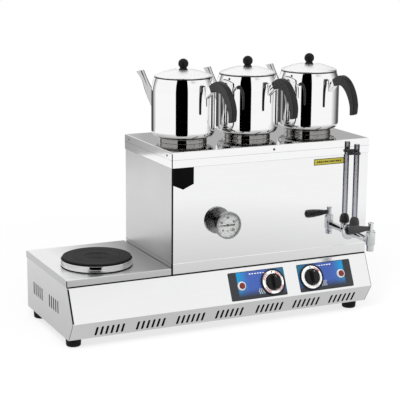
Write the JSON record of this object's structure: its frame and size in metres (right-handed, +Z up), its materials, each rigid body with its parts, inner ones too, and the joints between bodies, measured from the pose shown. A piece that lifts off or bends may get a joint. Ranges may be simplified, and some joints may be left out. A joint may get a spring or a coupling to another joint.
{
  "type": "tea boiler",
  "caption": "Countertop tea boiler: steel water boiler with tap, level glass and thermometer on a vented base with a hot plate, and lidded teapots standing on top.",
  "frame": {"origin": "on the table under the middle of the whole object's box", "axes": "+Z up, -Y towards the user, +X to the user's right, along the base"},
  "size_m": [0.8718, 0.4524, 0.699],
  "materials": {
    "satin_steel": "satin stainless",
    "polished_steel": "bright polished stainless",
    "cast_iron": "black heat-proof coating",
    "rubber": "matt black rubber",
    "chrome": "chrome plate",
    "brass": "plain brass",
    "black_plastic": "black bakelite",
    "clear_glass": "clear glass",
    "dark_case": "dark grey enamel",
    "dial_white": "white print on sheet",
    "pointer_black": "matt black",
    "fascia_blue": "blue printed sheet",
    "lamp_red": "red translucent lens"
  },
  "bodies": {
    "boiler": {"base_left_side": "satin_steel", "base_right_side": "satin_steel", "base_back_panel": "satin_steel", "base_bottom_plate": "satin_steel", "boiler_left_panel": "satin_steel", "boiler_right_panel": "satin_steel", "boiler_back_panel": "satin_steel", "boiler_floor": "satin_steel", "water_tank": "satin_steel", "hotplate_clamp": "satin_steel", "heating_element": "satin_steel", "cover_screws": "satin_steel", "base_front_panel": "polished_steel", "boiler_front_panel": "polished_steel", "boiler_top": "polished_steel", "hotplate_deck": "polished_steel", "hotplate_rim": "polished_steel", "hotplate_casting": "cast_iron", "rubber_feet": "rubber", "tap_body": "chrome", "tap_flange": "chrome", "lamp_bezels": "chrome", "tap_lock_nut": "brass", "element_nuts": "brass", "gauge_gland": "black_plastic", "gauge_clip": "black_plastic", "dial_rings": "black_plastic", "heat_regulator": "black_plastic", "thermostat": "black_plastic", "cord_gland": "black_plastic", "gauge_glass": "clear_glass", "thermometer_glass": "clear_glass", "thermometer_case": "dark_case", "thermometer_dial": "dial_white", "fascia_left": "fascia_blue", "fascia_right": "fascia_blue", "lamp_lenses": "lamp_red"},
    "tap_lever": {"tap_plug": "chrome", "tap_grip": "black_plastic", "tap_cap": "chrome"},
    "left_knob": {"knob_left": "black_plastic", "shaft_left": "chrome"},
    "right_knob": {"knob_right": "black_plastic", "shaft_right": "chrome"},
    "pointer": {"thermometer_pointer": "pointer_black"},
    "teapot_1": {"teapot_1_body": "polished_steel", "teapot_1_bracket": "polished_steel", "teapot_1_grip": "black_plastic"},
    "teapot_1_lid": {"teapot_1_lid": "polished_steel", "teapot_1_lid_knob": "black_plastic"},
    "teapot_2": {"teapot_2_body": "polished_steel", "teapot_2_bracket": "polished_steel", "teapot_2_grip": "black_plastic"},
    "teapot_2_lid": {"teapot_2_lid": "polished_steel", "teapot_2_lid_knob": "black_plastic"},
    "teapot_3": {"teapot_3_body": "polished_steel", "teapot_3_bracket": "polished_steel", "teapot_3_grip": "black_plastic"},
    "teapot_3_lid": {"teapot_3_lid": "polished_steel", "teapot_3_lid_knob": "black_plastic"}
  },
  "joints": [
    {"name": "tap_turn", "type": "hinge", "parent": "boiler", "child": "tap_lever", "pos_m": [0.381, -0.21335, 0.2585], "axis": [0, 0, 1], "range_deg": [0, 90]},
    {"name": "left_knob_turn", "type": "hinge", "parent": "boiler", "child": "left_knob", "pos_m": [0.1342, -0.1337, 0.11823], "axis": [0, 0.908, -0.4191], "range_deg": [0, 270]},
    {"name": "right_knob_turn", "type": "hinge", "parent": "boiler", "child": "right_knob", "pos_m": [0.2518, -0.1337, 0.11823], "axis": [0, 0.908, -0.4191], "range_deg": [0, 300]},
    {"name": "pointer_swing", "type": "hinge", "parent": "boiler", "child": "pointer", "pos_m": [-0.005, -0.14535, 0.2875], "axis": [0, 1, 0], "range_deg": [-45, 225], "stiffness_Nm_per_rad": 0.002},
    {"name": "teapot_1_lift", "type": "slide", "parent": "boiler", "child": "teapot_1", "axis": [0, 0, 1], "range_m": [0, 0.15]},
    {"name": "teapot_1_lid_lift", "type": "slide", "parent": "teapot_1", "child": "teapot_1_lid", "axis": [0, 0, 1], "range_m": [0, 0.08]},
    {"name": "teapot_2_lift", "type": "slide", "parent": "boiler", "child": "teapot_2", "axis": [0, 0, 1], "range_m": [0, 0.15]},
    {"name": "teapot_2_lid_lift", "type": "slide", "parent": "teapot_2", "child": "teapot_2_lid", "axis": [0, 0, 1], "range_m": [0, 0.08]},
    {"name": "teapot_3_lift", "type": "slide", "parent": "boiler", "child": "teapot_3", "axis": [0, 0, 1], "range_m": [0, 0.15]},
    {"name": "teapot_3_lid_lift", "type": "slide", "parent": "teapot_3", "child": "teapot_3_lid", "axis": [0, 0, 1], "range_m": [0, 0.08]}
  ]
}
